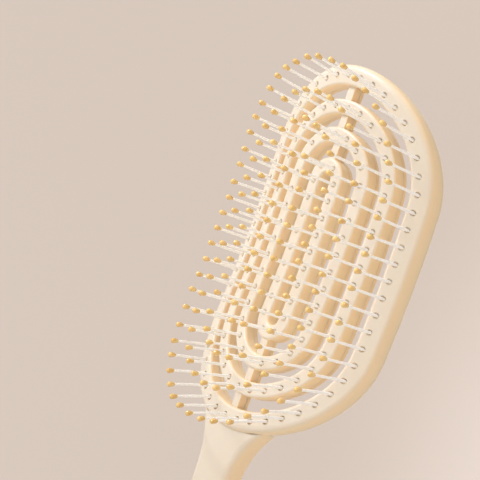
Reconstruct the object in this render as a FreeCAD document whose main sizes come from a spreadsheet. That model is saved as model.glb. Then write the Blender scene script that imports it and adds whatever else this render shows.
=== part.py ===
import FreeCAD, Part
import Sketcher
import math
import os

# Vented detangling brush, in millimetres.
# Model frame: the origin is the crown of the head's front face, +X across the head,
# +Y from the handle to the head's top, +Z the way the pins point. At the end every
# piece is placed so that the brush lies on its back on the plane Z = 0.

Vector = FreeCAD.Vector
UP = Vector(0, 0, 1)

SIZES = [
    ("head_straight", 24.0, "half the straight run of every ring"),
    ("rim_radius", 34.0, "end radius of the pin line on the rim"),
    ("outer_ring_radius", 24.1, "end radius of the pin line on the outer ring"),
    ("middle_ring_radius", 15.0, "end radius of the pin line on the middle ring"),
    ("core_radius", 4.75, "end radius of the pin line on the core ring"),
    ("rim_inner_width", 3.0, "rim width inside its pin line"),
    ("rim_outer_width", 4.0, "rim width outside its pin line"),
    ("ring_half_width", 2.5, "half the width of a ring's bar"),
    ("face_arch_radius", 75.0, "arch of the face across the head"),
    ("face_bow_radius", 343.0, "hollow bow of the face along the head"),
    ("front_depth", 4.0, "depth of the front moulding's rings"),
    ("cover_depth", 2.1, "depth of the back cover"),
    ("seam_gap", 0.1, "gap along the seam of moulding and cover"),
    ("bar_round", 0.9, "round on the front edges of the bars"),
    ("rim_round", 2.2, "round on the rim's outer front edge"),
    ("cover_round", 0.8, "round on the back edges of the cover"),
    ("cover_rim_round", 1.4, "round on the cover's outer back edge"),
    ("web_width", 2.8, "width of the webs that tie the rings"),
    ("web_recess", 0.9, "depth of a web below the ring faces"),
    ("web_bite", 1.2, "length that a web runs into each ring"),
    ("cover_web_recess", 0.6, "height of a cover web above the cover's back"),
    ("neck_half_width", 8.3, "half the handle's width at the neck"),
    ("neck_flare_radius", 30.0, "hollow curve from the neck into the rim"),
    ("neck_lip", 1.8, "height of the rim's lip over the neck"),
    ("neck_under", 5.2, "depth of the neck's underside below the crown"),
    ("neck_bite", 1.2, "length that the handle's flare runs into the rim"),
    ("neck_root", 0.4, "length that the handle's end runs on past its flare"),
    ("cover_room_depth", 25.0, "depth to which the neck is cleared behind the rim"),
    ("handle_length", 116.0, "handle from the rim to the butt"),
    ("neck_run", 16.0, "level run of the neck before the handle bends"),
    ("bend_run", 72.0, "length of the handle's double bend"),
    ("handle_drop", 8.0, "drop of the handle's front over its bend"),
    ("grip_half_width", 11.5, "half the handle's width at the grip"),
    ("grip_thickness", 12.6, "thickness of the grip"),
    ("front_corner", 3.0, "corner radius of the handle's front edges"),
    ("back_corner", 3.4, "corner radius of the handle's back edges"),
    ("butt_length", 11.5, "length of the rounded butt"),
    ("pin_root_radius", 0.62, "pin radius at the ring's face"),
    ("pin_top_radius", 0.5, "pin radius in its tip"),
    ("pin_head_radius", 1.15, "radius of the pin's head behind the ring face"),
    ("pin_wall", 2.2, "ring wall in front of the pin's head"),
    ("pin_hole_clearance", 0.14, "gap round a pin in its hole"),
    ("pin_head_clearance", 0.1, "gap round a pin's head"),
    ("pin_head_seat", 0.05, "gap between a pin's head and the ring wall"),
    ("pin_head_recess", 0.2, "gap between a pin's head and the seam"),
    ("tip_radius", 1.05, "radius of a tip's ball"),
    ("tip_collar_radius", 0.78, "radius of a tip's lower end"),
    ("tip_skirt", 1.75, "tip length below the ball's centre"),
    ("tip_socket_top", 0.3, "socket end below the ball's centre"),
    ("tip_clearance", 0.03, "gap round the pin in a tip"),
    ("rim_pin_length", 15.3, "rim pin from the face to the ball's centre"),
    ("outer_ring_pin_length", 15.0, "outer ring pin, likewise"),
    ("middle_ring_pin_length", 15.0, "middle ring pin, likewise"),
    ("core_pin_length", 14.3, "core pin, likewise"),
    ("edge_reach", 0.05, "distance within which an edge lies on a layer"),
    ("overrun", 3.0, "length that a cut runs past what it cuts"),
]

# Pins on each ring, and where the first stands as a share of the pitch.
RINGS = {
    "rim": {"count": 55, "phase_share": 0.17},
    "outer_ring": {"count": 42, "phase_share": 0.26},
    "middle_ring": {"count": 33, "phase_share": 0.33},
    "core": {"count": 22, "phase_share": 0.44},
}

# Stations of the handle, as shares of its flare, its middle and its butt.
FLARE_SHARES = (0.0, 0.16, 0.34, 0.55, 0.78, 1.0)
MIDDLE_SHARES = (0.12, 0.3, 0.5, 0.7, 0.88, 1.0)
BUTT_SHARES = (0.35, 0.62, 0.83, 0.95, 0.995)

# The most of a side's height that one of its corner rounds takes.
CORNER_SHARE = 0.42

# Sides of the pins and tips, which have few faces because they repeat, and the turns up a
# tip's ball where it has a section.
PIN_SIDES = 8
TIP_TURNS = (0.0, math.radians(38), math.radians(72))

doc = FreeCAD.newDocument("detangling_brush")
sheet = doc.addObject("Spreadsheet::Sheet", "Sizes")
for row, (alias, value, note) in enumerate(SIZES, 1):
    sheet.set("A%d" % row, alias)
    sheet.set("B%d" % row, str(value))
    sheet.setAlias("B%d" % row, alias)
    sheet.set("C%d" % row, note)
doc.recompute()


def size(alias):
    """A driving dimension, read from the sheet."""
    return float(sheet.get(alias))


def rule_value(rule):
    """The number that a rule written in the sheet's names gives."""
    return float(sheet.evalExpression(rule))


# Form of the face

def bow_height(y):
    """Height of the crown line at a place along the head."""
    radius = size("face_bow_radius")
    return radius - math.sqrt(radius ** 2 - y ** 2)


def face_height(x, y):
    """Height of the front face: an arch across the head, swung along a hollow bow."""
    arch = size("face_arch_radius")
    bow = size("face_bow_radius")
    swing = bow + arch - math.sqrt(arch ** 2 - x ** 2)
    return bow - math.sqrt(swing ** 2 - y ** 2)


# Sketch helpers

def bind(sketch, constraint, rule):
    """Adds a dimension to a sketch and ties it to a rule of the sheet."""
    index = sketch.addConstraint(constraint)
    sketch.setExpression("Constraints[%d]" % index, rule)


def stadium(sketch, radius_rule):
    """A stadium about the origin, with its straight runs along Y."""
    half_rule = "Sizes.head_straight"
    radius = rule_value(radius_rule)
    half = rule_value(half_rule)
    top_circle = Part.Circle(Vector(0, half, 0), UP, radius)
    foot_circle = Part.Circle(Vector(0, -half, 0), UP, radius)
    top = sketch.addGeometry(Part.ArcOfCircle(top_circle, 0, math.pi))
    left = sketch.addGeometry(Part.LineSegment(Vector(-radius, half, 0), Vector(-radius, -half, 0)))
    foot = sketch.addGeometry(Part.ArcOfCircle(foot_circle, math.pi, 2 * math.pi))
    right = sketch.addGeometry(Part.LineSegment(Vector(radius, -half, 0), Vector(radius, half, 0)))
    for first, second in ((top, left), (left, foot), (foot, right), (right, top)):
        sketch.addConstraint(Sketcher.Constraint("Tangent", first, 2, second, 1))
    sketch.addConstraint(Sketcher.Constraint("Vertical", left))
    sketch.addConstraint(Sketcher.Constraint("PointOnObject", top, 3, -2))
    sketch.addConstraint(Sketcher.Constraint("PointOnObject", foot, 3, -2))
    bind(sketch, Sketcher.Constraint("DistanceY", -1, 1, top, 3, half), half_rule)
    bind(sketch, Sketcher.Constraint("DistanceY", foot, 3, -1, 1, half), half_rule)
    bind(sketch, Sketcher.Constraint("Radius", top, radius), radius_rule)


def outline(sketch, corner_rules):
    """A closed outline of straight edges whose corners are tied to rules of the sheet."""
    corners = [Vector(rule_value(across), rule_value(up), 0) for across, up in corner_rules]
    edges = []
    for index, corner in enumerate(corners):
        following = corners[(index + 1) % len(corners)]
        edges.append(sketch.addGeometry(Part.LineSegment(corner, following)))
    for index, edge in enumerate(edges):
        following = edges[(index + 1) % len(edges)]
        sketch.addConstraint(Sketcher.Constraint("Coincident", edge, 2, following, 1))
    for edge, corner, (across, up) in zip(edges, corners, corner_rules):
        place(sketch, edge, 1, corner, across, up)
    return edges


def place(sketch, edge, end, point, across_rule, up_rule):
    """Ties one point of a sketch to rules for its two coordinates."""
    if across_rule == "0":
        sketch.addConstraint(Sketcher.Constraint("PointOnObject", edge, end, -2))
    else:
        bind(sketch, Sketcher.Constraint("DistanceX", -1, 1, edge, end, point.x), across_rule)
    if up_rule == "0":
        sketch.addConstraint(Sketcher.Constraint("PointOnObject", edge, end, -1))
    else:
        bind(sketch, Sketcher.Constraint("DistanceY", -1, 1, edge, end, point.y), up_rule)


def body_sketch(body, name, role):
    """A sketch on one of a body's own origin planes."""
    plane = [feature for feature in body.Origin.OriginFeatures if feature.Role == role][0]
    sketch = body.newObject("Sketcher::SketchObject", name)
    sketch.AttachmentSupport = [(plane, "")]
    sketch.MapMode = "FlatFace"
    return sketch


# Bent slabs that give the head its arched and bowed layers

def bent_slab(name, top_rule, bottom_rule):
    """A layer between two depths below the face: an arched strip swung along the bow."""
    body = doc.addObject("PartDesign::Body", name)
    sketch = body_sketch(body, name + "_section", "XZ_Plane")
    reach_rule = "Sizes.rim_radius + Sizes.rim_outer_width + Sizes.overrun"
    radius_rules = ["Sizes.face_arch_radius - (%s)" % rule for rule in (top_rule, bottom_rule)]
    arch = size("face_arch_radius")
    bow = size("face_bow_radius")
    reach = rule_value(reach_rule)
    axis = sketch.addGeometry(Part.LineSegment(Vector(-reach, bow, 0), Vector(reach, bow, 0)), True)
    sketch.addConstraint(Sketcher.Constraint("Horizontal", axis))
    bind(sketch, Sketcher.Constraint("DistanceY", -1, 1, axis, 1, bow), "Sizes.face_bow_radius")
    bind(sketch, Sketcher.Constraint("DistanceX", axis, 1, -1, 1, reach), reach_rule)
    bind(sketch, Sketcher.Constraint("DistanceX", -1, 1, axis, 2, reach), reach_rule)
    centre = Vector(0, -arch, 0)
    arcs = []
    for radius_rule in radius_rules:
        radius = rule_value(radius_rule)
        lean = math.asin(reach / radius)
        circle = Part.Circle(centre, UP, radius)
        arc = sketch.addGeometry(Part.ArcOfCircle(circle, math.pi / 2 - lean, math.pi / 2 + lean))
        sketch.addConstraint(Sketcher.Constraint("PointOnObject", arc, 3, -2))
        bind(sketch, Sketcher.Constraint("DistanceY", arc, 3, -1, 1, arch), "Sizes.face_arch_radius")
        bind(sketch, Sketcher.Constraint("Radius", arc, radius), radius_rule)
        bind(sketch, Sketcher.Constraint("DistanceX", -1, 1, arc, 1, reach), reach_rule)
        bind(sketch, Sketcher.Constraint("DistanceX", arc, 2, -1, 1, reach), reach_rule)
        arcs.append((arc, Vector(reach, radius * math.cos(lean) - arch, 0)))
    (top, top_end), (bottom, bottom_end) = arcs
    for end, side in ((1, 1), (2, -1)):
        start = Vector(side * top_end.x, top_end.y, 0)
        finish = Vector(side * bottom_end.x, bottom_end.y, 0)
        edge = sketch.addGeometry(Part.LineSegment(start, finish))
        sketch.addConstraint(Sketcher.Constraint("Coincident", edge, 1, top, end))
        sketch.addConstraint(Sketcher.Constraint("Coincident", edge, 2, bottom, end))
    swing = body.newObject("PartDesign::Revolution", name + "_swing")
    swing.Profile = sketch
    swing.ReferenceAxis = (sketch, ["Axis0"])
    swing.Midplane = True
    swing.setExpression(
        "Angle",
        "2 * asin((Sizes.head_straight + Sizes.rim_radius + Sizes.rim_outer_width + Sizes.overrun)"
        " / Sizes.face_bow_radius)",
    )
    return body


# Plan of the head: rim, outer ring, middle ring and core ring with its slot

HEAD_PLAN = [
    "Sizes.rim_radius + Sizes.rim_outer_width",
    "Sizes.rim_radius - Sizes.rim_inner_width",
    "Sizes.outer_ring_radius + Sizes.ring_half_width",
    "Sizes.outer_ring_radius - Sizes.ring_half_width",
    "Sizes.middle_ring_radius + Sizes.ring_half_width",
    "Sizes.middle_ring_radius - Sizes.ring_half_width",
    "Sizes.core_radius + Sizes.ring_half_width",
    "Sizes.core_radius - Sizes.ring_half_width",
]


def plan_prism(name, radius_rules):
    """Upright walls on stadium outlines, tall enough for every layer of the head."""
    sketch = doc.addObject("Sketcher::SketchObject", name + "_plan")
    for radius_rule in radius_rules:
        stadium(sketch, radius_rule)
    prism = doc.addObject("Part::Extrusion", name)
    prism.Base = sketch
    prism.DirMode = "Normal"
    prism.Solid = True
    prism.Symmetric = True
    prism.setExpression("LengthFwd", "Sizes.face_arch_radius")
    return prism


def common(name, first, second):
    """What two shapes share."""
    shared = doc.addObject("Part::Common", name)
    shared.Base = first
    shared.Tool = second
    return shared


def cut(name, base, tool):
    """A shape with another taken out of it."""
    rest = doc.addObject("Part::Cut", name)
    rest.Base = base
    rest.Tool = tool
    return rest


def fuse(name, shapes):
    """Several shapes made one."""
    whole = doc.addObject("Part::MultiFuse", name)
    whole.Shapes = shapes
    return whole


def stadium_distance(point):
    """Distance of a point from the middle line between the two end centres."""
    half = size("head_straight")
    beyond = max(abs(point.y) - half, 0.0)
    return math.hypot(point.x, beyond)


def edge_numbers(shape, depth, on_rim):
    """Edges that lie at one depth below the face, on the rim's outside or on all other walls."""
    rim = rule_value(HEAD_PLAN[0])
    near = size("edge_reach")
    found = []
    for number, edge in enumerate(shape.Edges, 1):
        middle = edge.valueAt((edge.FirstParameter + edge.LastParameter) / 2)
        ends = [middle] + [vertex.Point for vertex in edge.Vertexes]
        level = all(abs(layer_height(p.x, p.y, depth) - p.z) < near for p in ends)
        outside = abs(stadium_distance(middle) - rim) < near
        if level and outside == on_rim:
            found.append(number)
    return found


def layer_height(x, y, depth):
    """Height of the surface that lies at a depth below the face, square to its arch."""
    arch = size("face_arch_radius")
    bow = size("face_bow_radius")
    swing = bow + arch - math.sqrt((arch - depth) ** 2 - x ** 2)
    return bow - math.sqrt(swing ** 2 - y ** 2)


def rounded(name, base, depth, bar_round, rim_round):
    """Rounds a layer's edges: the rim's outside by one radius, all others by another."""
    doc.recompute()
    fillet = doc.addObject("Part::Fillet", name)
    fillet.Base = base
    bars = [(number, bar_round, bar_round) for number in edge_numbers(base.Shape, depth, False)]
    rim = [(number, rim_round, rim_round) for number in edge_numbers(base.Shape, depth, True)]
    fillet.Edges = bars + rim
    return fillet


# Webs: one across each gap, at the top and at the foot of the head

GAPS = {
    "rim": ("Sizes.outer_ring_radius + Sizes.ring_half_width", "Sizes.rim_radius - Sizes.rim_inner_width"),
    "outer": (
        "Sizes.middle_ring_radius + Sizes.ring_half_width",
        "Sizes.outer_ring_radius - Sizes.ring_half_width",
    ),
    "middle": ("Sizes.core_radius + Sizes.ring_half_width", "Sizes.middle_ring_radius - Sizes.ring_half_width"),
}


def web_bars(layer, top_rule, bottom_rule):
    """Bars across the gaps, between two depths below the crown line."""
    bars = []
    for gap, (inner_rule, outer_rule) in GAPS.items():
        start_rule = "Sizes.head_straight + %s - Sizes.web_bite" % inner_rule
        length_rule = "%s - (%s) + 2 * Sizes.web_bite" % (outer_rule, inner_rule)
        middle_rule = "(Sizes.head_straight + (%s + %s) / 2)" % (inner_rule, outer_rule)
        bow_rule = "Sizes.face_bow_radius - sqrt(Sizes.face_bow_radius ^ 2 - %s ^ 2)" % middle_rule
        for end, back_rule in (("top", start_rule), ("foot", "-(%s) - (%s)" % (start_rule, length_rule))):
            bar = doc.addObject("Part::Box", "%s_%s_%s_web" % (layer, gap, end))
            bar.setExpression("Width", length_rule)
            bar.setExpression("Length", "Sizes.web_width")
            bar.setExpression("Height", "(%s) - (%s)" % (bottom_rule, top_rule))
            bar.setExpression("Placement.Base.x", "-Sizes.web_width / 2")
            bar.setExpression("Placement.Base.y", back_rule)
            bar.setExpression("Placement.Base.z", "%s - (%s)" % (bow_rule, bottom_rule))
            bars.append(bar)
    return bars


# Handle: a loft from the rim to the butt

def smooth(share):
    """A share that starts and ends level."""
    share = min(max(share, 0.0), 1.0)
    return share * share * (3 - 2 * share)


def handle_stations():
    """Half width, front height and underside of the handle at each place along it."""
    half = size("head_straight")
    rim = size("rim_radius") + size("rim_outer_width")
    hug = rim - size("neck_bite")
    neck = size("neck_half_width")
    flare = size("neck_flare_radius")
    rim_end = half + rim
    butt_end = rim_end + size("handle_length")
    butt_start = butt_end - size("butt_length")
    rise = math.sqrt((hug + flare) ** 2 - (neck + flare) ** 2)
    flare_end = half + rise
    flare_start = half + rise * hug / (hug + flare)
    bend_start = rim_end + size("neck_run")
    bend = size("bend_run")
    neck_face = bow_height(rim_end) - size("neck_lip")
    grip_face = neck_face - size("handle_drop")
    grip_under = grip_face - size("grip_thickness")
    widening = size("grip_half_width") - neck

    def station(along, closing=0.0):
        if along < flare_end:
            width = neck + flare - math.sqrt(flare ** 2 - (flare_end - along) ** 2)
        else:
            width = neck + widening * smooth((along - flare_end) / (butt_start - flare_end))
        share = smooth((along - bend_start) / bend)
        front = min(bow_height(min(along, rim_end)) - size("neck_lip"), neck_face)
        front = front - size("handle_drop") * share
        under = -size("neck_under") + (grip_under + size("neck_under")) * share
        middle = (front + under) / 2
        depth = (front - under) / 2 * math.sqrt(1 - closing ** 4)
        return along, width * math.sqrt(1 - closing ** 2), middle + depth, middle - depth

    stations = [station(flare_start + (flare_end - flare_start) * share) for share in FLARE_SHARES]
    stations += [station(flare_end + (butt_start - flare_end) * share) for share in MIDDLE_SHARES]
    for share in BUTT_SHARES:
        stations.append(station(butt_start + size("butt_length") * share, share))
    return stations


def handle_section(along, width, front, under):
    """One cross-section: an arched front, upright sides and a flat underside, round at the corners."""
    arch = size("face_arch_radius")
    side = front - under - arch + math.sqrt(arch ** 2 - width ** 2)
    fore = min(size("front_corner"), side * CORNER_SHARE)
    aft = min(size("back_corner"), side * CORNER_SHARE)

    def at(x, z):
        return Vector(x, -along, z)

    inner = arch - fore
    fore_x = width - fore
    fore_z = front - arch + math.sqrt(inner ** 2 - fore_x ** 2)
    touch_x = fore_x * arch / inner
    touch_z = front - arch + math.sqrt(inner ** 2 - fore_x ** 2) * arch / inner
    turn = (math.atan2(touch_z - fore_z, touch_x - fore_x)) / 2
    mid_x = fore_x + fore * math.cos(turn)
    mid_z = fore_z + fore * math.sin(turn)
    aft_x = width - aft
    aft_z = under + aft
    diagonal = aft * math.cos(math.pi / 4)
    edges = [Part.Arc(at(-touch_x, touch_z), at(0, front), at(touch_x, touch_z)).toShape()]
    edges.append(Part.Arc(at(touch_x, touch_z), at(mid_x, mid_z), at(width, fore_z)).toShape())
    edges.append(Part.LineSegment(at(width, fore_z), at(width, aft_z)).toShape())
    edges.append(
        Part.Arc(at(width, aft_z), at(aft_x + diagonal, aft_z - diagonal), at(aft_x, under)).toShape()
    )
    edges.append(Part.LineSegment(at(aft_x, under), at(-aft_x, under)).toShape())
    edges.append(
        Part.Arc(at(-aft_x, under), at(-aft_x - diagonal, aft_z - diagonal), at(-width, aft_z)).toShape()
    )
    edges.append(Part.LineSegment(at(-width, aft_z), at(-width, fore_z)).toShape())
    edges.append(Part.Arc(at(-width, fore_z), at(-mid_x, mid_z), at(-touch_x, touch_z)).toShape())
    return Part.Wire(edges)


def handle_loft():
    """The handle as one smooth solid through its cross-sections."""
    handle = doc.addObject("Part::Feature", "handle_loft")
    sections = [handle_section(*station) for station in handle_stations()]
    handle.Shape = Part.makeLoft(sections, True, False)
    return handle


# Pins, tips and the holes for them

def turned(name, corner_rules):
    """A turned piece: a half section, with its edge on the axis, swung once round Z."""
    body = doc.addObject("PartDesign::Body", name)
    sketch = body_sketch(body, name + "_section", "XZ_Plane")
    outline(sketch, corner_rules)
    turn = body.newObject("PartDesign::Revolution", name + "_turn")
    turn.Profile = sketch
    turn.ReferenceAxis = (sketch, ["V_Axis"])
    turn.Angle = 360
    return body


HEAD_TOP = "-Sizes.pin_wall - Sizes.pin_head_seat"
HEAD_FOOT = "-Sizes.front_depth + Sizes.pin_head_recess"


def faceted(name, section_rules):
    """A tapered piece with few faces, through upright polygons given by radius and height."""
    sections = []
    for index, (radius_rule, height_rule) in enumerate(section_rules):
        section = doc.addObject("Part::RegularPolygon", "%s_section_%d" % (name, index))
        section.Polygon = PIN_SIDES
        section.setExpression("Circumradius", radius_rule)
        section.setExpression("Placement.Base.z", height_rule)
        sections.append(section)
    loft = doc.addObject("Part::Loft", name)
    loft.Sections = sections
    loft.Solid = True
    loft.Ruled = True
    return loft


def pin_master(ring):
    """A pin on its ring: a head behind the wall and a tapered shank up into its tip."""
    shank_top = "Sizes.%s_pin_length - Sizes.tip_socket_top - Sizes.tip_clearance" % ring
    head = faceted(ring + "_pin_head", [
        ("Sizes.pin_head_radius", HEAD_FOOT),
        ("Sizes.pin_head_radius", HEAD_TOP),
    ])
    shank = faceted(ring + "_pin_shank", [
        ("Sizes.pin_root_radius", HEAD_TOP),
        ("Sizes.pin_top_radius", shank_top),
    ])
    return fuse(ring + "_pin_master", [head, shank])


def hole_master():
    """The stepped hole of a pin: a clearance hole in the wall and a wider bore for the head."""
    wide = "Sizes.pin_head_radius + Sizes.pin_head_clearance"
    narrow = "Sizes.pin_root_radius + Sizes.pin_hole_clearance"
    return turned("pin_hole_master", [
        ("0", "-Sizes.front_depth - Sizes.overrun"),
        (wide, "-Sizes.front_depth - Sizes.overrun"),
        (wide, "-Sizes.pin_wall"),
        (narrow, "-Sizes.pin_wall"),
        (narrow, "Sizes.overrun"),
        ("0", "Sizes.overrun"),
    ])


def tip_master():
    """A teardrop tip about its ball's centre, with a blind socket for the pin."""
    skirt = [("Sizes.tip_collar_radius", "-Sizes.tip_skirt")]
    ball = [("%g * Sizes.tip_radius" % math.cos(turn), "%g * Sizes.tip_radius" % math.sin(turn)) for turn in TIP_TURNS]
    drop = faceted("tip_drop", skirt + ball)
    socket_radius = "Sizes.pin_top_radius + Sizes.tip_clearance"
    socket = faceted("tip_socket", [
        (socket_radius, "-Sizes.tip_skirt - Sizes.overrun"),
        (socket_radius, "-Sizes.tip_socket_top"),
    ])
    return cut("tip_master", drop, socket)


def ring_places(ring):
    """Where a ring's pins stand on the face, evenly round its stadium from the foot."""
    half = size("head_straight")
    radius = size(ring + "_radius")
    count = RINGS[ring]["count"]
    quarter = radius * math.pi / 2
    way_round = 4 * half + 4 * quarter
    places = []
    for index in range(count):
        way = (index + RINGS[ring]["phase_share"]) * way_round / count
        side = -1
        if way > way_round / 2:
            way = way_round - way
            side = 1
        if way < quarter:
            turn = way / radius
            x, y = radius * math.sin(turn), -half - radius * math.cos(turn)
        elif way < quarter + 2 * half:
            x, y = radius, way - quarter - half
        else:
            turn = (way - quarter - 2 * half) / radius
            x, y = radius * math.cos(turn), half + radius * math.sin(turn)
        places.append(Vector(side * x, y, face_height(x, y)))
    return places


def quarter_of(spot):
    """The side of the head where a pin stands: its straight columns or its round ends."""
    if abs(spot.y) > size("head_straight"):
        return "top" if spot.y > 0 else "foot"
    return "right" if spot.x > 0 else "left"


def copies(name, master, spots):
    """Separate copies of one solid at the given places, as one group."""
    solids = []
    for spot in spots:
        solid = master.Shape.Solids[0].copy()
        solid.translate(spot)
        solids.append(solid)
    group = doc.addObject("Part::Feature", name)
    group.Shape = Part.makeCompound(solids)
    return group


# Rings of the front moulding, drilled for the pins
ring_plan = plan_prism("ring_prism", HEAD_PLAN)
front_slab = bent_slab("front_slab", "0", "Sizes.front_depth")
front_rings = common("front_rings", front_slab, ring_plan)
front_round = rounded("front_round", front_rings, 0.0, size("bar_round"), size("rim_round"))
hole = hole_master()
tip = tip_master()
pins = {ring: pin_master(ring) for ring in RINGS}
doc.recompute()
spots = {ring: ring_places(ring) for ring in RINGS}
pin_holes = copies("pin_holes", hole, [spot for ring in RINGS for spot in spots[ring]])
front_drilled = cut("front_drilled", front_round, pin_holes)

# Back cover: the same plan behind the seam
cover_top = "Sizes.front_depth + Sizes.seam_gap"
cover_bottom = "Sizes.front_depth + Sizes.cover_depth"
cover_slab = bent_slab("cover_slab", cover_top, cover_bottom)
cover_rings = common("cover_rings", cover_slab, ring_plan)
cover_round = rounded(
    "cover_round", cover_rings, rule_value(cover_bottom), size("cover_round"), size("cover_rim_round")
)
cover_webs = web_bars("cover", cover_top, cover_bottom + " - Sizes.cover_web_recess")
back_cover = fuse("back_cover", [cover_round] + cover_webs)
doc.recompute()
rest_height = back_cover.Shape.optimalBoundingBox(False, False).ZMin

# The handle runs a little way into the rim. Its neck is cleared where the cover lies behind
# the rim, and its back is cut flat on the plane that the cover rests on.
head_room = plan_prism("head_room", [HEAD_PLAN[0] + " - Sizes.neck_bite - Sizes.neck_root"])
cover_room_plan = plan_prism("cover_room_prism", [HEAD_PLAN[0] + " + Sizes.seam_gap"])
cover_room_slab = bent_slab("cover_room_slab", "Sizes.front_depth - Sizes.seam_gap", "Sizes.cover_room_depth")
cover_room = common("cover_room", cover_room_slab, cover_room_plan)
rest_cutter = doc.addObject("Part::Box", "rest_cutter")
rest_cutter.setExpression("Length", "2 * (Sizes.grip_half_width + Sizes.overrun)")
rest_cutter.setExpression("Width", "Sizes.handle_length + Sizes.overrun")
rest_cutter.setExpression("Height", "Sizes.grip_thickness")
rest_cutter.setExpression("Placement.Base.x", "-Sizes.grip_half_width - Sizes.overrun")
rest_cutter.setExpression(
    "Placement.Base.y",
    "-Sizes.head_straight - Sizes.rim_radius - Sizes.rim_outer_width - Sizes.handle_length - Sizes.overrun",
)
rest_cutter.Placement.Base.z = rest_height - size("grip_thickness")
handle_foot = cut("handle_foot", handle_loft(), head_room)
neck_clear = cut("neck_clear", handle_foot, cover_room)
handle_flat = cut("handle_flat", neck_clear, rest_cutter)

# Front moulding: the drilled rings, their webs and the handle as one piece
front_webs = web_bars("front", "Sizes.web_recess", "Sizes.front_depth")
front_moulding = fuse("front_moulding", [front_drilled, handle_flat] + front_webs)

nodes = [front_moulding, back_cover]
for ring in RINGS:
    lift = UP * size(ring + "_pin_length")
    for quarter in ("left", "right", "top", "foot"):
        here = [spot for spot in spots[ring] if quarter_of(spot) == quarter]
        nodes.append(copies("%s_pins_%s" % (ring, quarter), pins[ring], here))
        nodes.append(copies("%s_tips_%s" % (ring, quarter), tip, [spot + lift for spot in here]))
doc.recompute()

for item in doc.Objects:
    if "Invalid" in item.State or "Error" in item.State:
        raise RuntimeError("%s failed: %s" % (item.Name, item.State))

# Place the whole brush on the plane Z = 0, centred on its length
lie = FreeCAD.Placement(Vector(0, size("handle_length") / 2, -rest_height), FreeCAD.Rotation())
for node in nodes:
    node.Label = node.Name
    node.Placement = lie.multiply(node.Placement)

os.makedirs("parts", exist_ok=True)
for node in nodes:
    if node.Shape.isNull() or not node.Shape.isValid():
        raise RuntimeError("%s has no valid shape" % node.Label)
    node.Shape.exportStep("parts/%s.step" % node.Label)
    print(node.Label, len(node.Shape.Solids), "solids", round(node.Shape.Volume, 2), "mm3")
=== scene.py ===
import math

import bmesh
import bpy
from bpy.props import FloatProperty, FloatVectorProperty, IntProperty, PointerProperty
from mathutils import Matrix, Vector


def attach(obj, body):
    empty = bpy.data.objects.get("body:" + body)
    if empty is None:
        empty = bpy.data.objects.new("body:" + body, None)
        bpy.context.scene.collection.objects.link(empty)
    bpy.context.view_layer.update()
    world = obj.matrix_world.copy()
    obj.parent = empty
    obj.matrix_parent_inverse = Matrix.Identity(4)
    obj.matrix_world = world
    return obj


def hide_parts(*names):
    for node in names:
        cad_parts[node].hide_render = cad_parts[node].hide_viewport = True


bl_info = {
    "name": "Detangling brush",
    "version": (1, 0, 0),
    "blender": (4, 5, 0),
    "location": "3D View > Sidebar > Brush",
    "description": "Dresses a vented detangling brush: ivory mouldings, bent nylon pins and amber tips",
    "category": "Object",
}

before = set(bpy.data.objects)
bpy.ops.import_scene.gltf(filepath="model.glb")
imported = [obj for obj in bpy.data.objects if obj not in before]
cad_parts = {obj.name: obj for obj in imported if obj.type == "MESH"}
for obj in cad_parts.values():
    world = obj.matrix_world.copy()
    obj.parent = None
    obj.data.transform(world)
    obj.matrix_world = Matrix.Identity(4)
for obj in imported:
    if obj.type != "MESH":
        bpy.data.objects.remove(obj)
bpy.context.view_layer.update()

RINGS = ("rim", "outer_ring", "middle_ring", "core")
SIDES = ("left", "right", "top", "foot")
MM = 0.001

# Which way each kind of bent pin leans, as shares of the sway across and along the head
BENDS = (
    (0.1, 0.2), (0.7, -0.4), (-0.6, 0.5), (0.3, 0.9),
    (-0.8, -0.3), (0.9, 0.4), (-0.2, -0.8), (-0.4, 0.1),
)
BEND_STRIDE = 5

# The head's middle along the brush, half its straight run and the round of its ends
HEAD_MIDDLE = 58.0 * MM
HEAD_STRAIGHT = 24.0 * MM
HEAD_ROUND = 34.0 * MM
FAN_STEPS = 5

# Height shares of a pin's bends above its head, and the height of its head as in the solids
BEND_STEPS = (0.25, 0.5, 0.75, 1.0)
PIN_HEAD = 1.55 * MM

# How strongly a lean grows along a pin, the share of it at a tip's collar,
# and the length that turns the lean into the tip's tilt
LEAN_CURVE = 1.4
TIP_SEAT = 0.89
TIP_LEVER = 13.0 * MM

# The ball's share of the CAD tip's width, and its outline, as turns up the ball from its widest ring
BALL_SHARE = 0.92
BALL_TURNS = (-25.0, 0.0, 30.0, 60.0)

# Shares of a tip: its socket's depth, its skirt's height and width, and the small ring that closes its crown
SOCKET_DEPTH = 0.8
SKIRT_HEIGHT = 0.35
SKIRT_WIDTH = 0.55
CROWN_WIDTH = 0.05

# The angle up to which faces are shaded smooth, how near the corners of a CAD solid are merged,
# and the digits of a metre by which solids are put in order
SMOOTH_ANGLE = math.radians(50)
MERGE_GAP = 0.01 * MM
ORDER_DIGITS = 4

# Where a cloud's first shade ends and its second one begins
CLOUD_EDGES = (0.35, 0.65)

# Where the mouldings' painted shade and painted glow fall: painted shade in closed folds on level
# faces, stopping past the neck and beside the webs, and painted warm glow on steep walls
FOLD_REACH = 0.9 * MM
FOLD_OPENNESS = (0.95, 0.74)
LEVEL_FACES = (0.55, 0.75)
NECK_END = (-3.0 * MM, -2.0 * MM)
WEB_EDGE = (2.6 * MM, 3.0 * MM)
WALL_STEEPNESS = (0.9, 0.3)

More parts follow.
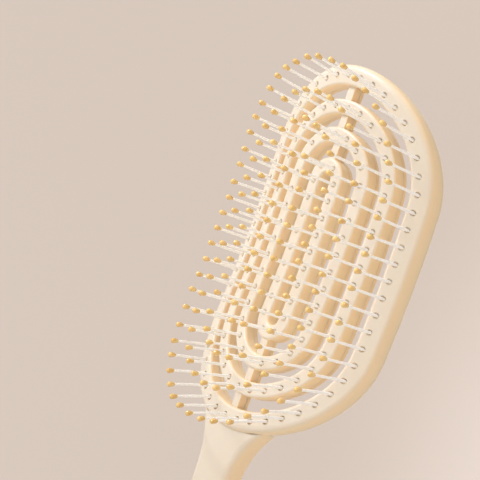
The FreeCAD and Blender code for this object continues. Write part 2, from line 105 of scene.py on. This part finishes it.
# The stage, in metres and degrees
FLOOR_WIDTH = 8.0
FLOOR_SHADE = 0.97
LIT_POINT = Vector((0.0, 0.084, 0.016))
KEY_WAY = Vector((-0.45, 0.6, 0.66))
KEY_DISTANCE = 0.5
KEY_RADIUS = 0.1
KEY_CONE = 19.5
KEY_TINT = (0.95, 0.98, 1.0)
FILL_WAY = Vector((0.7, -0.5, 0.55))
FILL_DISTANCE = 1.2
FILL_WIDTH = 1.0
SURROUND_TINT = (1.0, 0.91, 0.8, 1.0)
SURROUND_STRENGTH = 0.94
CAMERA_PLACE = (0.3358, 0.0657, 0.3430)
CAMERA_TURN = (20.04, 44.77, 29.29)
CAMERA_SENSOR = 36.0
CAMERA_LENS = 108.4
CAMERA_NEAR = 0.01


class BrushSettings(bpy.types.PropertyGroup):
    """Sizes, colours and light of the brush"""

    ivory: FloatVectorProperty(
        name="Ivory", description="Colour of the mouldings", subtype="COLOR", size=4,
        min=0.0, max=1.0, default=(0.72, 0.655, 0.575, 1.0))
    ivory_deep: FloatVectorProperty(
        name="Deep ivory", description="Colour of the mouldings' warmer patches", subtype="COLOR", size=4,
        min=0.0, max=1.0, default=(0.71, 0.635, 0.545, 1.0))
    # Painted glow: a warm peach mixed into steep walls, standing in for light through the thin plastic
    painted_wall_glow: FloatVectorProperty(
        name="Wall peach", description="Colour of the mouldings' thin side walls", subtype="COLOR", size=4,
        min=0.0, max=1.0, default=(0.85, 0.685, 0.465, 1.0))
    # Painted shade: a dark brown mixed into narrow folds and round the pin roots
    painted_fold_shade: FloatVectorProperty(
        name="Fold brown", description="Colour in the narrow folds of the mouldings", subtype="COLOR", size=4,
        min=0.0, max=1.0, default=(0.2, 0.1, 0.035, 1.0))
    nylon: FloatVectorProperty(
        name="Nylon", description="Colour of the pins", subtype="COLOR", size=4,
        min=0.0, max=1.0, default=(0.96, 0.98, 1.0, 1.0))
    nylon_cloud: FloatVectorProperty(
        name="Cloudy nylon", description="Colour of the pins' cloudy streaks", subtype="COLOR", size=4,
        min=0.0, max=1.0, default=(0.96, 0.97, 0.98, 1.0))
    amber: FloatVectorProperty(
        name="Amber", description="Colour of the tips", subtype="COLOR", size=4,
        min=0.0, max=1.0, default=(0.84, 0.61, 0.26, 1.0))
    amber_deep: FloatVectorProperty(
        name="Deep amber", description="Colour of the tips' darker clouds", subtype="COLOR", size=4,
        min=0.0, max=1.0, default=(0.70, 0.46, 0.155, 1.0))
    floor_pale: FloatVectorProperty(
        name="Floor", description="Colour of the floor", subtype="COLOR", size=4,
        min=0.0, max=1.0, default=(0.745, 0.69, 0.685, 1.0))
    floor_gap: FloatProperty(
        name="Floor gap", description="Distance of the floor behind the brush", unit="LENGTH",
        min=0.0, default=140.0 * MM)
    pin_root: FloatProperty(
        name="Pin root", description="Radius of a pin at its ring", unit="LENGTH", min=0.0, default=0.52 * MM)
    pin_end: FloatProperty(
        name="Pin end", description="Radius of a pin in its tip", unit="LENGTH", min=0.0, default=0.41 * MM)
    pin_sway: FloatProperty(
        name="Pin sway", description="How far a bent pin leans at its end", unit="LENGTH",
        min=0.0, default=0.35 * MM)
    top_fan: FloatProperty(
        name="Top fan", description="How far the last pins at the head's top lean out", unit="LENGTH",
        min=0.0, default=1.1 * MM)
    foot_fan: FloatProperty(
        name="Foot fan", description="How far the last pins at the head's foot lean out", unit="LENGTH",
        min=0.0, default=2.7 * MM)
    pin_sides: IntProperty(name="Pin sides", description="Faces round a pin or a tip", min=3, default=8)
    tip_collar: FloatProperty(
        name="Tip collar", description="Radius of a tip's lower end", unit="LENGTH",
        min=0.0, default=0.56 * MM)
    tip_socket: FloatProperty(
        name="Tip socket", description="Radius of a tip's socket", unit="LENGTH", min=0.0, default=0.44 * MM)
    key_power: FloatProperty(
        name="Key light", description="Power of the light over the pins", unit="POWER", min=0.0, default=22.5)
    fill_power: FloatProperty(
        name="Fill light", description="Power of the wide light beside the camera", unit="POWER",
        min=0.0, default=0.3)


def settings():
    """The brush's settings in this scene."""
    return bpy.context.scene.brush_settings


# Selection and modelling

def clear_selection():
    """Leaves nothing selected, in object mode."""
    if bpy.context.object and bpy.context.object.mode != "OBJECT":
        bpy.ops.object.mode_set(mode="OBJECT")
    bpy.ops.object.select_all(action="DESELECT")


def select_only(pieces):
    """Selects some objects, the first of them active."""
    clear_selection()
    for piece in pieces:
        piece.select_set(True)
    bpy.context.view_layer.objects.active = pieces[0]


def raised(name, profile, sides, pointed):
    """Models a turned form: a polygon extruded and resized from ring to ring of a profile."""
    clear_selection()
    radius, height = profile[0]
    bpy.ops.mesh.primitive_circle_add(
        vertices=sides, radius=radius, fill_type="NGON", location=(0, 0, height))
    form = bpy.context.object
    form.name = name
    bpy.ops.object.transform_apply(location=True)
    bpy.ops.object.mode_set(mode="EDIT")
    bpy.ops.mesh.select_all(action="SELECT")
    for next_radius, next_height in profile[1:]:
        bpy.ops.mesh.extrude_region_move(TRANSFORM_OT_translate={"value": (0, 0, next_height - height)})
        share = next_radius / radius
        bpy.ops.transform.resize(value=(share, share, 1), center_override=(0, 0, next_height))
        radius, height = next_radius, next_height
    if pointed:
        bpy.ops.mesh.merge(type="CENTER")
    bpy.ops.mesh.select_all(action="SELECT")
    bpy.ops.mesh.normals_make_consistent(inside=False)
    bpy.ops.object.mode_set(mode="OBJECT")
    bpy.ops.object.shade_smooth_by_angle(angle=SMOOTH_ANGLE)
    return form


def push_over(form, above, shift):
    """Moves what lies above a height of a form sideways."""
    select_only([form])
    bpy.ops.object.mode_set(mode="EDIT")
    shape = bmesh.from_edit_mesh(form.data)
    for vertex in shape.verts:
        vertex.select_set(vertex.co.z > above)
    bmesh.update_edit_mesh(form.data)
    bpy.ops.transform.translate(value=shift)
    bpy.ops.object.mode_set(mode="OBJECT")


def copied(form):
    """A copy of a form with a mesh of its own."""
    select_only([form])
    bpy.ops.object.duplicate(linked=False)
    return bpy.context.object


def removed(pieces):
    """Deletes working objects."""
    select_only(pieces)
    bpy.ops.object.delete()


def joined(name, pieces):
    """Makes one object of several, at the origin, with its place in its mesh."""
    select_only(pieces)
    bpy.ops.object.transform_apply(location=True)
    bpy.ops.object.join()
    whole = bpy.context.object
    whole.name = name
    return whole


def solid_boxes(node):
    """Lowest and highest corners of each separate solid in a CAD node, in a steady order."""
    copy = copied(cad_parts[node])
    copy.parent = None
    bpy.ops.object.mode_set(mode="EDIT")
    bpy.ops.mesh.select_all(action="SELECT")
    bpy.ops.mesh.remove_doubles(threshold=MERGE_GAP)
    bpy.ops.mesh.separate(type="LOOSE")
    bpy.ops.object.mode_set(mode="OBJECT")
    solids = list(bpy.context.selected_objects)
    boxes = []
    for solid in solids:
        corners = [vertex.co for vertex in solid.data.vertices]
        low = Vector([min(corner[axis] for corner in corners) for axis in range(3)])
        high = Vector([max(corner[axis] for corner in corners) for axis in range(3)])
        boxes.append((low, high))
    removed(solids)
    return sorted(boxes, key=lambda box: (round(box[0].y, ORDER_DIGITS), round(box[0].x, ORDER_DIGITS)))


def bend_of(number, along_head):
    """How far the end of a pin leans: a little sway of its own, and outwards over the head's round ends."""
    across, along = BENDS[(BEND_STRIDE * number) % len(BENDS)]
    way = along_head - HEAD_MIDDLE
    beyond = max(abs(way) - HEAD_STRAIGHT, 0.0) / HEAD_ROUND
    most = settings().top_fan if way > 0 else -settings().foot_fan
    fan = most * round(beyond * FAN_STEPS) / FAN_STEPS
    return Vector((across, along, 0)) * settings().pin_sway + Vector((0, fan, 0))


# Materials

def new_material(name):
    """A new material with its node tree, its shader and its Object coordinates."""
    material = bpy.data.materials.new(name)
    material.use_nodes = True
    tree = material.node_tree
    shader = tree.nodes["Principled BSDF"]
    place = tree.nodes.new("ShaderNodeTexCoord")
    return material, tree, shader, place.outputs["Object"]


def cloud(tree, place, scale, detail):
    """A noise over the object, with a scale in lumps for each metre."""
    noise = tree.nodes.new("ShaderNodeTexNoise")
    noise.inputs["Scale"].default_value = scale
    noise.inputs["Detail"].default_value = detail
    tree.links.new(place, noise.inputs["Vector"])
    return noise.outputs["Fac"]


def clouded_colour(tree, shader, source, first, second):
    """Lets a noise move the base colour between two shades."""
    ramp = tree.nodes.new("ShaderNodeValToRGB")
    ramp.color_ramp.elements[0].position = CLOUD_EDGES[0]
    ramp.color_ramp.elements[0].color = first
    ramp.color_ramp.elements[1].position = CLOUD_EDGES[1]
    ramp.color_ramp.elements[1].color = second
    tree.links.new(source, ramp.inputs["Fac"])
    tree.links.new(ramp.outputs["Color"], shader.inputs["Base Color"])


def mapped(tree, source, span, low=0.0, high=1.0):
    """A value moved from a span to another range."""
    spread = tree.nodes.new("ShaderNodeMapRange")
    spread.inputs["From Min"].default_value, spread.inputs["From Max"].default_value = span
    spread.inputs["To Min"].default_value = low
    spread.inputs["To Max"].default_value = high
    tree.links.new(source, spread.inputs["Value"])
    return spread.outputs["Result"]


def part_of(tree, source, axis):
    """One axis of a vector."""
    parts = tree.nodes.new("ShaderNodeSeparateXYZ")
    tree.links.new(source, parts.inputs["Vector"])
    return parts.outputs[axis]


def facing_up(tree):
    """How far a face looks up from the object, from -1 to 1."""
    surface = tree.nodes.new("ShaderNodeTexCoord")
    return part_of(tree, surface.outputs["Normal"], "Z")


def lesser(tree, first, second):
    """The lesser of two values."""
    least = tree.nodes.new("ShaderNodeMath")
    least.operation = "MINIMUM"
    tree.links.new(first, least.inputs[0])
    tree.links.new(second, least.inputs[1])
    return least.outputs["Value"]


def tinted(tree, shader, share, colour):
    """Mixes a colour into the base colour, by a share."""
    mix = tree.nodes.new("ShaderNodeMix")
    mix.data_type = "RGBA"
    tree.links.new(share, mix.inputs["Factor"])
    base = shader.inputs["Base Color"]
    tree.links.new(base.links[0].from_socket, mix.inputs["A"])
    mix.inputs["B"].default_value = colour
    tree.links.new(mix.outputs["Result"], base)


def paint_wall_glow(tree, shader, glow_colour):
    """Paints a warm glow into the base colour of steep walls, standing in for light that comes through the
    thin plastic.
    """
    tinted(tree, shader, mapped(tree, facing_up(tree), WALL_STEEPNESS), glow_colour)


def paint_fold_shade(tree, shader, place, shade_colour):
    """Paints shade into the base colour of the head's upward faces in narrow folds and round the roots of the
    pins, where ambient occlusion finds them closed in.
    """
    near = tree.nodes.new("ShaderNodeAmbientOcclusion")
    near.inputs["Distance"].default_value = FOLD_REACH
    closed = mapped(tree, near.outputs["AO"], FOLD_OPENNESS)
    level = mapped(tree, facing_up(tree), LEVEL_FACES)
    on_head = mapped(tree, part_of(tree, place, "Y"), NECK_END)
    across = tree.nodes.new("ShaderNodeMath")
    across.operation = "ABSOLUTE"
    tree.links.new(part_of(tree, place, "X"), across.inputs[0])
    off_webs = mapped(tree, across.outputs["Value"], WEB_EDGE)
    share = lesser(tree, lesser(tree, closed, level), lesser(tree, on_head, off_webs))
    tinted(tree, shader, share, shade_colour)


def clouded_roughness(tree, shader, source, low, high):
    """Lets a noise move the roughness between two values."""
    tree.links.new(mapped(tree, source, (0.0, 1.0), low, high), shader.inputs["Roughness"])


def grained(tree, shader, source, strength, depth):
    """Gives the surface a fine grain."""
    bump = tree.nodes.new("ShaderNodeBump")
    bump.inputs["Strength"].default_value = strength
    bump.inputs["Distance"].default_value = depth
    tree.links.new(source, bump.inputs["Height"])
    tree.links.new(bump.outputs["Normal"], shader.inputs["Normal"])


def ivory_plastic(name, shade_in_folds):
    """Satin ivory plastic with warm patches, a painted warm glow on steep walls, a trace of moulding grain
    and, if asked, painted shade in folds and round the pin roots.
    """
    material, tree, shader, place = new_material(name)
    patches = cloud(tree, place, scale=28.0, detail=2.0)
    clouded_colour(tree, shader, patches, settings().ivory, settings().ivory_deep)
    # Painted warm glow on the steep walls
    paint_wall_glow(tree, shader, settings().painted_wall_glow)
    # Painted shade in the folds and round the pin roots
    if shade_in_folds:
        paint_fold_shade(tree, shader, place, settings().painted_fold_shade)
    clouded_roughness(tree, shader, cloud(tree, place, scale=90.0, detail=3.0), low=0.3, high=0.42)
    grained(tree, shader, cloud(tree, place, scale=1400.0, detail=2.0), strength=0.08, depth=0.05 * MM)
    shader.inputs["Subsurface Weight"].default_value = 0.4
    shader.inputs["Subsurface Radius"].default_value = (1.0, 0.7, 0.45)
    shader.inputs["Subsurface Scale"].default_value = 2.0 * MM
    shader.inputs["Specular IOR Level"].default_value = 0.45
    return material


def clear_nylon():
    """Milky nylon: cloudy streaks along the pins and a soft gloss."""
    material, tree, shader, place = new_material("clear_nylon")
    streaks = cloud(tree, place, scale=160.0, detail=2.0)
    clouded_colour(tree, shader, streaks, settings().nylon, settings().nylon_cloud)
    clouded_roughness(tree, shader, cloud(tree, place, scale=700.0, detail=2.0), low=0.22, high=0.34)
    shader.inputs["Subsurface Weight"].default_value = 0.2
    shader.inputs["Subsurface Radius"].default_value = (1.0, 1.0, 1.0)
    shader.inputs["Subsurface Scale"].default_value = 0.5 * MM
    shader.inputs["IOR"].default_value = 1.53
    return material


def amber_tip():
    """Glossy amber drops with darker clouds."""
    material, tree, shader, place = new_material("amber_tip")
    clouds = cloud(tree, place, scale=420.0, detail=2.0)
    clouded_colour(tree, shader, clouds, settings().amber, settings().amber_deep)
    clouded_roughness(tree, shader, cloud(tree, place, scale=900.0, detail=2.0), low=0.14, high=0.26)
    shader.inputs["Subsurface Weight"].default_value = 0.2
    shader.inputs["Subsurface Radius"].default_value = (1.0, 0.5, 0.15)
    shader.inputs["Subsurface Scale"].default_value = 0.8 * MM
    shader.inputs["Coat Weight"].default_value = 0.4
    shader.inputs["Coat Roughness"].default_value = 0.08
    return material


def pale_floor():
    """A matt pale floor with hardly visible clouds."""
    material, tree, shader, place = new_material("pale_floor")
    pale = settings().floor_pale
    shade = [FLOOR_SHADE * part for part in pale[:3]] + [1.0]
    clouded_colour(tree, shader, cloud(tree, place, scale=1.6, detail=1.0), pale, shade)
    clouded_roughness(tree, shader, cloud(tree, place, scale=12.0, detail=2.0), low=0.75, high=0.9)
    return material


def dressed(piece, material):
    """Gives a piece one material all over."""
    piece.data.materials.clear()
    piece.data.materials.append(material)


# Pieces

class BRUSH_OT_mouldings(bpy.types.Operator):
    """Dress the front moulding and the back cover in ivory plastic"""

    bl_idname = "brush.mouldings"
    bl_label = "Mouldings"

    def execute(self, context):
        # The front moulding carries painted shade in its folds; both mouldings carry a painted warm glow on
        # their walls
        dressed(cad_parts["front_moulding"], ivory_plastic("ivory_plastic", shade_in_folds=True))
        dressed(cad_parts["back_cover"], ivory_plastic("ivory_cover_plastic", shade_in_folds=False))
        return {"FINISHED"}


class BRUSH_OT_pins(bpy.types.Operator):
    """Model the slightly bent nylon pins of every ring"""

    bl_idname = "brush.pins"
    bl_label = "Pins"

    def execute(self, context):
        material = clear_nylon()
        for ring in RINGS:
            for side in SIDES:
                self.group("%s_pins_%s" % (ring, side), material)
        return {"FINISHED"}

    def group(self, node, material):
        """One group of pins in place of its CAD node."""
        boxes = solid_boxes(node)
        kinds = {}
        shanks = []
        for number, (low, high) in enumerate(boxes):
            lean = tuple(bend_of(number, low.y))
            if lean not in kinds:
                kinds[lean] = self.bent_pin(low, high, lean)
            shank = copied(kinds[lean])
            shank.location = ((low.x + high.x) / 2, (low.y + high.y) / 2, low.z)
            shanks.append(shank)
        removed(list(kinds.values()))
        piece = joined(node + "_shanks", shanks)
        dressed(piece, material)
        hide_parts(node)
        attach(piece, "root")

    def bent_pin(self, low, high, lean):
        """One pin on its foot: its head, and a shank that narrows and leans towards its end."""
        head = (high.x - low.x) / 2
        length = high.z - low.z
        root, end = settings().pin_root, settings().pin_end
        profile = [(head, 0.0), (head, PIN_HEAD), (root, PIN_HEAD)]
        for step in BEND_STEPS:
            profile.append((root + (end - root) * step, PIN_HEAD + (length - PIN_HEAD) * step))
        pin = raised("pin", profile, settings().pin_sides, pointed=False)
        for before, step in zip((0.0,) + BEND_STEPS, BEND_STEPS):
            above = PIN_HEAD + (length - PIN_HEAD) * (before + step) / 2
            push_over(pin, above, Vector(lean) * (step ** LEAN_CURVE - before ** LEAN_CURVE))
        return pin


class BRUSH_OT_tips(bpy.types.Operator):
    """Model the amber drops on the ends of the pins"""

    bl_idname = "brush.tips"
    bl_label = "Tips"

    def execute(self, context):
        material = amber_tip()
        for ring in RINGS:
            for side in SIDES:
                self.group("%s_tips_%s" % (ring, side), material)
        return {"FINISHED"}

    def group(self, node, material):
        """One group of tips in place of its CAD node."""
        boxes = solid_boxes(node)
        drop = self.drop(*boxes[0])
        drops = []
        for number, (low, high) in enumerate(boxes):
            tip = copied(drop)
            lean = bend_of(number, low.y)
            upright = Vector(((low.x + high.x) / 2, (low.y + high.y) / 2, low.z))
            tip.location = upright + lean * TIP_SEAT
            tip.rotation_euler = (lean.y / -TIP_LEVER, lean.x / TIP_LEVER, 0.0)
            drops.append(tip)
        removed([drop])
        piece = joined(node + "_drops", drops)
        dressed(piece, material)
        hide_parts(node)
        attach(piece, "root")

    def drop(self, low, high):
        """One tip on its collar: a blind socket, a flared skirt and a ball."""
        ball = (high.x - low.x) / 2 * BALL_SHARE
        centre = high.z - low.z - ball
        socket, collar = settings().tip_socket, settings().tip_collar
        profile = [(socket, SOCKET_DEPTH * centre), (socket, 0.0), (collar, 0.0)]
        profile.append((collar + SKIRT_WIDTH * (ball - collar), SKIRT_HEIGHT * centre))
        for turn in BALL_TURNS:
            angle = math.radians(turn)
            profile.append((ball * math.cos(angle), centre + ball * math.sin(angle)))
        profile.append((CROWN_WIDTH * ball, centre + ball))
        return raised("tip", profile, settings().pin_sides, pointed=True)


class BRUSH_OT_stage(bpy.types.Operator):
    """Lay the floor, set the lights and place the camera at the photograph's angle"""

    bl_idname = "brush.stage"
    bl_label = "Stage"

    def execute(self, context):
        self.floor()
        self.lights(context.scene)
        self.camera(context.scene)
        return {"FINISHED"}

    def floor(self):
        """A wide plain floor, well behind the brush as the photograph's plain ground is."""
        clear_selection()
        bpy.ops.mesh.primitive_plane_add(size=FLOOR_WIDTH, location=(0, 0, -settings().floor_gap))
        floor = bpy.context.object
        floor.name = "floor"
        bpy.ops.object.transform_apply(location=True)
        dressed(floor, pale_floor())

    def lights(self, scene):
        """A soft spot on the head, a wide fill and an even warm surround."""
        key = self.aimed_light("SPOT", "key", KEY_WAY, KEY_DISTANCE, settings().key_power)
        key.data.shadow_soft_size = KEY_RADIUS
        key.data.spot_size = math.radians(KEY_CONE)
        key.data.spot_blend = 1.0
        key.data.color = KEY_TINT
        self.let_through_pins(key)
        fill = self.aimed_light("AREA", "fill", FILL_WAY, FILL_DISTANCE, settings().fill_power)
        fill.data.shape = "DISK"
        fill.data.size = FILL_WIDTH
        world = bpy.data.worlds.new("studio")
        world.use_nodes = True
        surround = world.node_tree.nodes["Background"]
        surround.inputs["Color"].default_value = SURROUND_TINT
        surround.inputs["Strength"].default_value = SURROUND_STRENGTH
        scene.world = world
        scene.view_settings.view_transform = "Standard"

    def aimed_light(self, kind, name, direction, distance, power):
        """A light that faces the head from a direction."""
        clear_selection()
        bpy.ops.object.light_add(type=kind, location=LIT_POINT + direction.normalized() * distance)
        light = bpy.context.object
        light.name = name
        light.data.energy = power
        light.rotation_euler = direction.to_track_quat("Z", "Y").to_euler()
        return light

    def let_through_pins(self, light):
        """Lets a light pass the milky pins, which throw hardly any shadow."""
        pins = bpy.data.collections.new("milky_pins")
        for ring in RINGS:
            for side in SIDES:
                pins.objects.link(bpy.data.objects["%s_pins_%s_shanks" % (ring, side)])
        for pin in pins.collection_objects:
            pin.light_linking.link_state = "EXCLUDE"
        light.light_linking.blocker_collection = pins

    def camera(self, scene):
        """The photograph's camera: above the right side of the head, rolled so that the handle hangs down."""
        clear_selection()
        turn = [math.radians(angle) for angle in CAMERA_TURN]
        bpy.ops.object.camera_add(location=CAMERA_PLACE, rotation=turn)
        camera = bpy.context.object
        camera.name = "photo_camera"
        camera.data.sensor_width = CAMERA_SENSOR
        camera.data.lens = CAMERA_LENS
        camera.data.clip_start = CAMERA_NEAR
        scene.camera = camera


class BRUSH_PT_panel(bpy.types.Panel):
    """Lists the brush's operators and settings"""

    bl_label = "Detangling brush"
    bl_idname = "BRUSH_PT_panel"
    bl_space_type = "VIEW_3D"
    bl_region_type = "UI"
    bl_category = "Brush"

    def draw(self, context):
        for operator in OPERATORS:
            self.layout.operator(operator.bl_idname)
        for name in BrushSettings.__annotations__:
            self.layout.prop(context.scene.brush_settings, name)


OPERATORS = (BRUSH_OT_mouldings, BRUSH_OT_pins, BRUSH_OT_tips, BRUSH_OT_stage)
CLASSES = (BrushSettings,) + OPERATORS + (BRUSH_PT_panel,)


def register():
    for item in CLASSES:
        bpy.utils.register_class(item)
    bpy.types.Scene.brush_settings = PointerProperty(type=BrushSettings)


def unregister():
    del bpy.types.Scene.brush_settings
    for item in reversed(CLASSES):
        bpy.utils.unregister_class(item)


def main():
    register()
    bpy.ops.brush.mouldings()
    bpy.ops.brush.pins()
    bpy.ops.brush.tips()
    bpy.ops.brush.stage()
    clear_selection()


if __name__ == "__main__":
    main()
